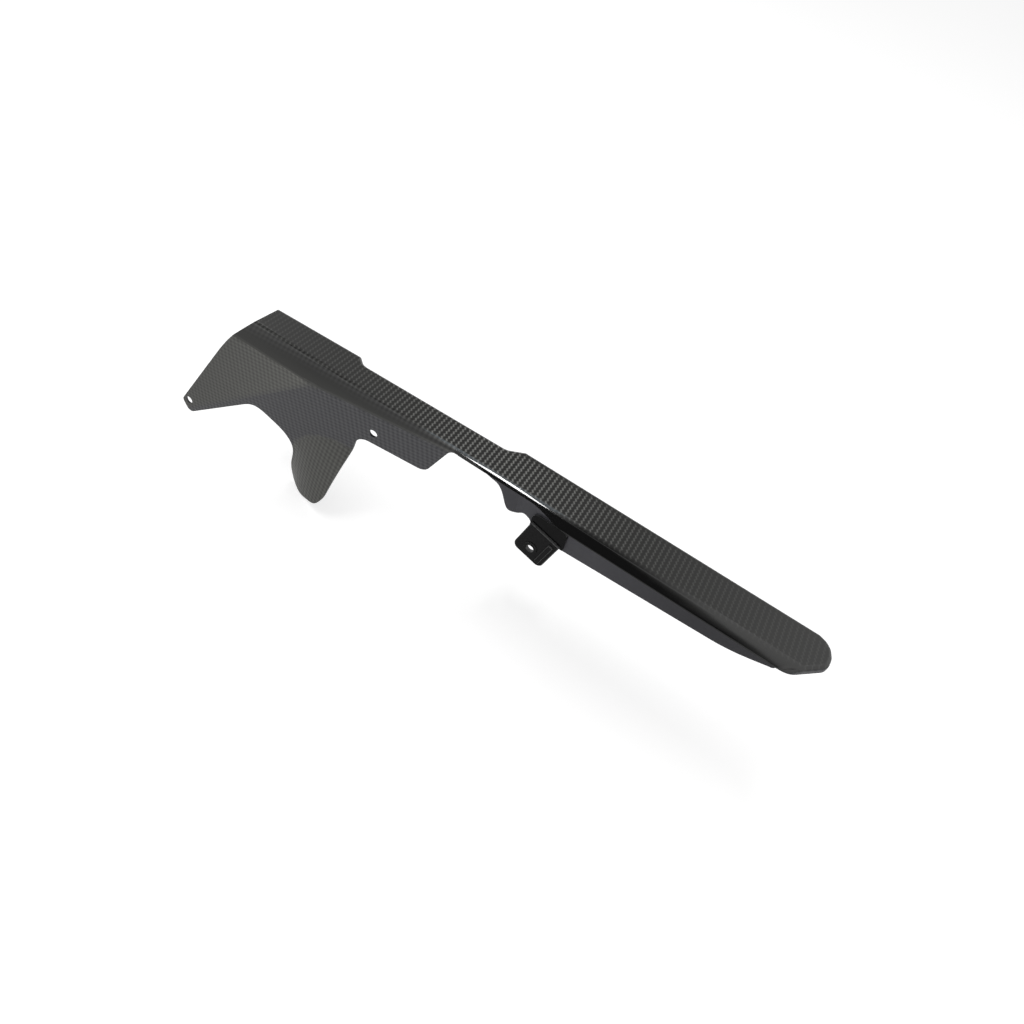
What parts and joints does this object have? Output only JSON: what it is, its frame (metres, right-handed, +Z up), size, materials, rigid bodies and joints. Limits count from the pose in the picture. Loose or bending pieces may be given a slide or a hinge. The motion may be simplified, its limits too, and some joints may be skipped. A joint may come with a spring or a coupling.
{
  "type": "motorcycle chain guard",
  "caption": "Long moulded chain guard with an open channel, a flared fin and a bonded bracket, bolted over the rear drive chain of a motorcycle.",
  "frame": {"origin": "centre of the mid bolt hole on the outer face of the near wall", "axes": "+X along the guard to its rounded tail, +Y across the channel to the far wall, +Z up"},
  "size_m": [0.502, 0.0547, 0.1238],
  "materials": {
    "carbon": "clear-coated carbon cloth, satin inside",
    "bracket": "gloss black"
  },
  "bodies": {
    "root": {"guard_shell": "carbon", "mounting_bracket": "bracket"}
  },
  "joints": []
}
